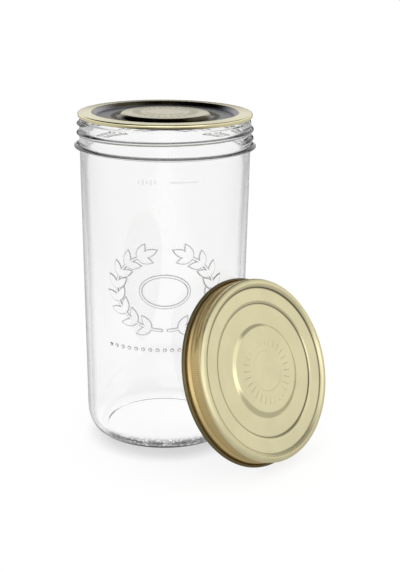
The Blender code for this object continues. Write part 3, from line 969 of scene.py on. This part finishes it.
def glass_material():
    """Clear glass that soaks up a little light in its length and darkens where it is seen edge on."""
    made, nodes, links = new_material("clear_glass")
    shader = nodes["Principled BSDF"]
    shader.inputs["Roughness"].default_value = 0.0
    shader.inputs["IOR"].default_value = GLASS_INDEX
    shader.inputs["Transmission Weight"].default_value = 1.0
    facing = nodes.new("ShaderNodeLayerWeight").outputs["Facing"]
    edge = blend_range(nodes, links, facing, *GLASS_EDGE, 0.0, 1.0)
    edge = reckon(nodes, links, "MULTIPLY", edge, attribute(nodes, "shaded"))
    tint = mix_colours(nodes, links, edge, (1.0, 1.0, 1.0), GLASS_EDGE_TINT)
    # Painted shade on the glass, in its darkest colour
    colour = mix_colours(nodes, links, attribute(nodes, "glass_shade"), tint, GLASS_SHADE_COLOUR)
    links.new(colour, shader.inputs["Base Color"])
    soak = nodes.new("ShaderNodeVolumeAbsorption")
    soak.inputs["Color"].default_value = (*SOAK_COLOUR, 1)
    soak.inputs["Density"].default_value = SOAK_DENSITY
    links.new(soak.outputs["Volume"], nodes["Material Output"].inputs["Volume"])
    return made


def lacquered(name, gold, deep_gold, shade_gold, sheen):
    """Lacquered tinplate: faint clouds, a fine grain, a second colour on walls, and painted shade in creases
    and hollows.
    """
    made, nodes, links = new_material(name)
    shader = nodes["Principled BSDF"]
    clouds = blend_range(nodes, links, noise(nodes, links, CLOUD_SCALE), *CLOUD_RANGE, 0.0, 1.0)
    paler = tuple(min(1.0, part * CLOUD_PALER) for part in gold)
    colour = mix_colours(nodes, links, clouds, gold, paler)
    # On walls: on the lid a painted grey reflection, on the cap a darker, browner gold
    colour = mix_colours(nodes, links, attribute(nodes, "wall"), colour, deep_gold)
    # Painted shade, in the darkest colour
    colour = mix_colours(nodes, links, attribute(nodes, "painted_shade"), colour, shade_gold)
    links.new(colour, shader.inputs["Base Color"])
    shader.inputs["Metallic"].default_value = 1.0
    grain = noise(nodes, links, GRAIN_SCALE, GRAIN_DETAIL)
    smooth = blend_range(nodes, links, grain, *MIDDLE_RANGE, *sheen)
    roughness = mix_values(nodes, links, attribute(nodes, "rolled"), smooth, ROLLED_SHEEN)
    links.new(roughness, shader.inputs["Roughness"])
    add_bump(nodes, links, grain, *GRAIN_BUMP)
    return made


def shaded_inner_lacquer():
    """The food-safe lacquer on the inner side of the lid and the cap, painted dark for the shade inside them.
    """
    made, nodes, links = new_material("shaded_inner_lacquer")
    shader = nodes["Principled BSDF"]
    clouds = noise(nodes, links, INNER_SCALE)
    colour = mix_colours(nodes, links, clouds, *INNER_SHADE_GOLDS)
    colour = mix_colours(nodes, links, attribute(nodes, "curl"), colour, CURL_GOLD)
    links.new(colour, shader.inputs["Base Color"])
    shader.inputs["Metallic"].default_value = INNER_METAL
    links.new(blend_range(nodes, links, clouds, *MIDDLE_RANGE, *INNER_SHEEN), shader.inputs["Roughness"])
    return made


def seal_material():
    """Soft buff sealing compound, matt and slightly uneven."""
    made, nodes, links = new_material("seal_compound")
    shader = nodes["Principled BSDF"]
    flow = noise(nodes, links, SEAL_SCALE, SEAL_DETAIL)
    links.new(mix_colours(nodes, links, flow, *SEAL_COLOURS), shader.inputs["Base Color"])
    links.new(blend_range(nodes, links, flow, *MIDDLE_RANGE, *SEAL_SHEEN), shader.inputs["Roughness"])
    add_bump(nodes, links, flow, *SEAL_BUMP)
    return made


def make_world():
    """White to the camera and to matt surfaces. Metal and glass see a white horizon under a dark ceiling, and
    metal also sees a bright front, soft boxes and two dark cards at the back."""
    world = bpy.data.worlds.new("studio")
    bpy.context.scene.world = world
    world.use_nodes = True
    nodes, links = world.node_tree.nodes, world.node_tree.links
    path = nodes.new("ShaderNodeLightPath")
    place = nodes.new("ShaderNodeTexCoord")
    split = nodes.new("ShaderNodeSeparateXYZ")
    links.new(place.outputs["Generated"], split.inputs["Vector"])
    x, y, z = split.outputs
    lift = blend_range(nodes, links, x, *SIDE_PANEL, 0.0, SIDE_LIFT)
    height = reckon(nodes, links, "SUBTRACT", z, lift)
    ceiling = blend_range(nodes, links, x, *CEILING_SIDE, CEILING, CEILING_RIGHT)
    above = blend_range(nodes, links, height, *METAL_HORIZON, 0.0, 1.0)
    side = blend_range(nodes, links, x, *METAL_SIDE_RANGE, *METAL_SIDES)
    horizon = mix_values(nodes, links, above, side, ceiling)
    low_card = blend_range(nodes, links, z, *BACK_LOW, BACK_LOW_SHADE, 0.0)
    high_card = blend_range(nodes, links, z, *BACK_HIGH, 0.0, BACK_HIGH_SHADE)
    cards = reckon(nodes, links, "MAXIMUM", low_card, high_card)
    at_back = blend_range(nodes, links, y, *BACK_DIRECTIONS, 0.0, 1.0)
    shade = reckon(nodes, links, "SUBTRACT", 1.0, reckon(nodes, links, "MULTIPLY", cards, at_back))
    horizon = reckon(nodes, links, "MULTIPLY", horizon, shade)
    forward = blend_range(nodes, links, y, *FRONT_PANEL, FRONT_LIGHT, 0.0)
    low = blend_range(nodes, links, z, *FRONT_TOP, 1.0, 0.0)
    metal = reckon(nodes, links, "MAXIMUM", horizon, reckon(nodes, links, "MULTIPLY", forward, low))
    for box, strength in SOFT_BOXES:
        near_box = measure(nodes, links, "DOT_PRODUCT", place.outputs["Generated"], Vector(box).normalized())
        glow = blend_range(nodes, links, near_box, SOFT_BOX_EDGE, SOFT_BOX_CORE, 0.0, strength)
        metal = reckon(nodes, links, "MAXIMUM", metal, glow)
    glass = blend_range(nodes, links, z, *GLASS_HORIZON, 1.0, GLASS_CEILING)
    seen = mix_values(nodes, links, path.outputs["Is Glossy Ray"], 1.0, metal)
    seen = mix_values(nodes, links, path.outputs["Is Transmission Ray"], seen, glass)
    links.new(seen, nodes["Background"].inputs["Strength"])
    nodes["Background"].inputs["Color"].default_value = (1, 1, 1, 1)


def make_floor():
    """A floor that keeps the object's shadow. It is white to the camera, with a painted soft shadow under the
    front of the jar, and grey in metal. Through glass it has painted light under the jar and is dimmer far
    out at the sides."""
    mesh = bpy.data.meshes.new("floor")
    wide = FLOOR_REACH
    corners = [(-wide, -wide, 0), (wide, -wide, 0), (wide, wide, 0), (-wide, wide, 0)]
    mesh.from_pydata(corners, [], [(0, 1, 2, 3)])
    floor = bpy.data.objects.new("floor", mesh)
    bpy.context.scene.collection.objects.link(floor)
    floor.location = JAR_AXIS + Vector((0, 0, JAR_BASE - FLOOR_DROP))
    made, nodes, links = new_material("white_floor")
    nodes.remove(nodes["Principled BSDF"])
    chalk = nodes.new("ShaderNodeBsdfDiffuse")
    chalk.inputs["Color"].default_value = (FLOOR_SHADE, FLOOR_SHADE, FLOOR_SHADE, 1)
    glow = nodes.new("ShaderNodeEmission")
    path = nodes.new("ShaderNodeLightPath")
    place = nodes.new("ShaderNodeTexCoord").outputs["Object"]
    split = nodes.new("ShaderNodeSeparateXYZ")
    links.new(place, split.inputs["Vector"])
    x, y = split.outputs[:2]
    sideways = reckon(nodes, links, "ABSOLUTE", x)
    behind = reckon(nodes, links, "MAXIMUM", y, 0.0)
    beside = reckon(nodes, links, "SUBTRACT", sideways, reckon(nodes, links, "MULTIPLY", behind, VIEW_SPREAD))
    dim = blend_range(nodes, links, beside, POOL_INNER, POOL_OUTER, 1.0 - FLOOR_SHADE, POOL_EDGE)
    from_axis = measure(nodes, links, "LENGTH", place)
    dim = reckon(nodes, links, "ADD", dim, blend_range(nodes, links, from_axis, *UNDER_JAR, UNDER_LIFT, 0.0))
    # Painted shadow under the front of the jar
    from_front = measure(nodes, links, "DISTANCE", place, (0, -CONTACT_AHEAD, 0))
    contact = blend_range(nodes, links, from_front, *CONTACT, CONTACT_SHADE, 0.0)
    plain = reckon(nodes, links, "SUBTRACT", 1.0 + FLOOR_GLOW - FLOOR_SHADE, contact)
    seen = mix_values(nodes, links, path.outputs["Is Glossy Ray"], plain, FLOOR_IN_METAL)
    seen = mix_values(nodes, links, path.outputs["Is Transmission Ray"], seen, dim)
    lit = reckon(nodes, links, "SUBTRACT", 1.0, path.outputs["Is Diffuse Ray"])
    links.new(reckon(nodes, links, "MULTIPLY", seen, lit), glow.inputs["Strength"])
    both = nodes.new("ShaderNodeAddShader")
    links.new(chalk.outputs[0], both.inputs[0])
    links.new(glow.outputs[0], both.inputs[1])
    links.new(both.outputs[0], nodes["Material Output"].inputs["Surface"])
    floor.data.materials.append(made)


def make_camera():
    """The camera's place and turn, from the fit to the photograph."""
    pitch, yaw, roll = (math.radians(a) for a in (CAMERA_PITCH, CAMERA_YAW, CAMERA_ROLL))
    ahead = Vector((math.sin(yaw) * math.cos(pitch), math.cos(yaw) * math.cos(pitch), -math.sin(pitch)))
    right = Vector((math.cos(yaw), -math.sin(yaw), 0))
    up = right.cross(ahead)
    side = right * math.cos(roll) + up * math.sin(roll)
    top = up * math.cos(roll) - right * math.sin(roll)
    data = bpy.data.cameras.new("camera")
    data.sensor_width = SENSOR
    data.lens = FOCAL_PIXELS / PHOTO_HEIGHT * SENSOR
    camera = bpy.data.objects.new("camera", data)
    bpy.context.scene.collection.objects.link(camera)
    turned = Matrix((side, top, -ahead)).transposed().to_4x4()
    place = JAR_AXIS + Vector((0, -CAMERA_BACK, JAR_BASE + CAMERA_UP))
    camera.matrix_world = Matrix.Translation(place) @ turned
    bpy.context.scene.camera = camera


def dress(piece, materials, body, node):
    """Give a piece its materials, its body and the solid whose place it takes."""
    for material in materials:
        piece.data.materials.append(material)
    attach(piece, body)
    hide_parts(node)


make_camera()
make_world()
make_floor()
inner = shaded_inner_lacquer()
dress(make_jar(), [glass_material()], "jar", "glass_jar")
dress(make_lid(), [lacquered("lid_gold", *LID_GOLDS, LID_SHEEN), inner], "lid", "sealing_lid")
dress(make_cap(), [lacquered("cap_gold", *CAP_GOLDS, CAP_SHEEN), inner], "cap", "screw_cap")
frame["nodes"]["seal_ring"].material_slots[0].material = seal_material()

bpy.context.scene.view_settings.view_transform = "Standard"
